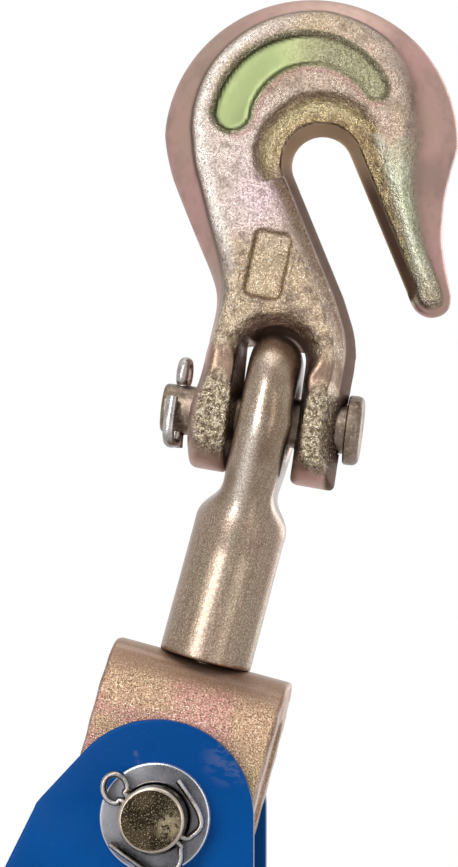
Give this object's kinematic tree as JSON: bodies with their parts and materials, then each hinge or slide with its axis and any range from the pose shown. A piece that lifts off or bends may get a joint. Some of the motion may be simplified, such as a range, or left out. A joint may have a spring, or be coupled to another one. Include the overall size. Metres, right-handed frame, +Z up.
{
  "type": "hand ratchet winch",
  "caption": "Hand ratchet winch: grab hook on a swivel eye, bent saddle, steel side plates, rope drum with ratchet wheels and pawls, and a lever handle.",
  "frame": {"origin": "middle of the anchor hook's seat, where the load bears on the hook", "axes": "+Z up along the line of pull, +X to the right of the hook's open side, +Y away from the front"},
  "size_m": [0.1052, 0.072, 0.6276],
  "materials": {
    "forged_zinc": "yellow zinc plate on a shot-blasted forging",
    "pin_zinc": "yellow zinc plate, turned",
    "swivel_zinc": "yellow zinc plate on a forging",
    "saddle_zinc": "yellow zinc plate on bent strip",
    "bright_zinc": "bright zinc plate",
    "pin_steel": "dark oiled steel",
    "blue_paint": "gloss blue enamel",
    "drum_steel": "dark cast steel",
    "tooth_steel": "heat-treated steel",
    "bronze": "oil-filled bronze",
    "spring_wire": "drawn spring wire",
    "grip_rubber": "ribbed black rubber"
  },
  "bodies": {
    "anchor_hook": {"anchor_hook": "forged_zinc", "clevis_pin": "pin_zinc", "clevis_cotter": "bright_zinc"},
    "swivel": {"swivel_eye": "swivel_zinc", "swivel_collar": "bright_zinc"},
    "saddle": {"saddle": "saddle_zinc"},
    "frame": {"front_plate": "blue_paint", "back_plate": "blue_paint", "anchor_pin": "pin_steel", "anchor_washer": "bright_zinc", "anchor_cotter": "bright_zinc", "tie_spacers": "bright_zinc", "tie_bolts": "bright_zinc", "tie_nuts": "bright_zinc", "holding_pawl_pin": "bright_zinc", "holding_pawl_rings": "bright_zinc", "drum_axle": "bright_zinc", "axle_washers": "bright_zinc", "axle_nut": "bright_zinc", "holding_pawl_spring": "spring_wire"},
    "drum": {"drum_barrel": "drum_steel", "front_ratchet": "tooth_steel", "back_ratchet": "tooth_steel", "drum_bushing": "bronze", "drum_lock_pins": "bright_zinc", "rope_clamp_screw": "pin_steel"},
    "holding_pawl": {"holding_pawl": "tooth_steel"},
    "handle": {"front_yoke_arm": "blue_paint", "back_yoke_arm": "blue_paint", "yoke_spacer": "bright_zinc", "yoke_bolt": "bright_zinc", "yoke_nut": "bright_zinc", "drive_pawl_pin": "bright_zinc", "drive_pawl_rings": "bright_zinc", "handle_tube": "blue_paint", "handle_rivets": "bright_zinc", "handle_grip": "grip_rubber", "drive_pawl_spring": "spring_wire"},
    "drive_pawl": {"drive_pawl": "tooth_steel"}
  },
  "joints": [
    {"name": "hook_pivot", "type": "hinge", "parent": "anchor_hook", "child": "swivel", "pos_m": [0.00311, -0.00704, -0.05016], "axis": [0.9903, 0, 0.1392], "range_deg": [-95, 95]},
    {"name": "swivel_turn", "type": "hinge", "parent": "swivel", "child": "saddle", "pos_m": [0.00311, -0.00704, -0.09796], "axis": [0, 0, 1], "continuous": true},
    {"name": "saddle_pivot", "type": "hinge", "parent": "saddle", "child": "frame", "pos_m": [0.00311, -0.00704, -0.12816], "axis": [0, 1, 0], "range_deg": [-75, 75]},
    {"name": "drum_turn", "type": "hinge", "parent": "frame", "child": "drum", "pos_m": [-0.00838, -0.00704, -0.2275], "axis": [0, -1, 0], "continuous": true},
    {"name": "handle_swing", "type": "hinge", "parent": "frame", "child": "handle", "pos_m": [-0.00838, -0.00704, -0.2275], "axis": [0, -1, 0], "range_deg": [-60, 90]},
    {"name": "holding_pawl_lift", "type": "hinge", "parent": "frame", "child": "holding_pawl", "pos_m": [-0.00149, -0.00704, -0.1679], "axis": [0, 1, 0], "range_deg": [0, 24], "stiffness_Nm_per_rad": 0.15, "springref_deg": -28.65, "deforming": ["holding_pawl_spring"]},
    {"name": "drive_pawl_throw", "type": "hinge", "parent": "handle", "child": "drive_pawl", "pos_m": [-0.01528, -0.00704, -0.2871], "axis": [0, -1, 0], "range_deg": [0, 24], "deforming": ["drive_pawl_spring"]}
  ]
}
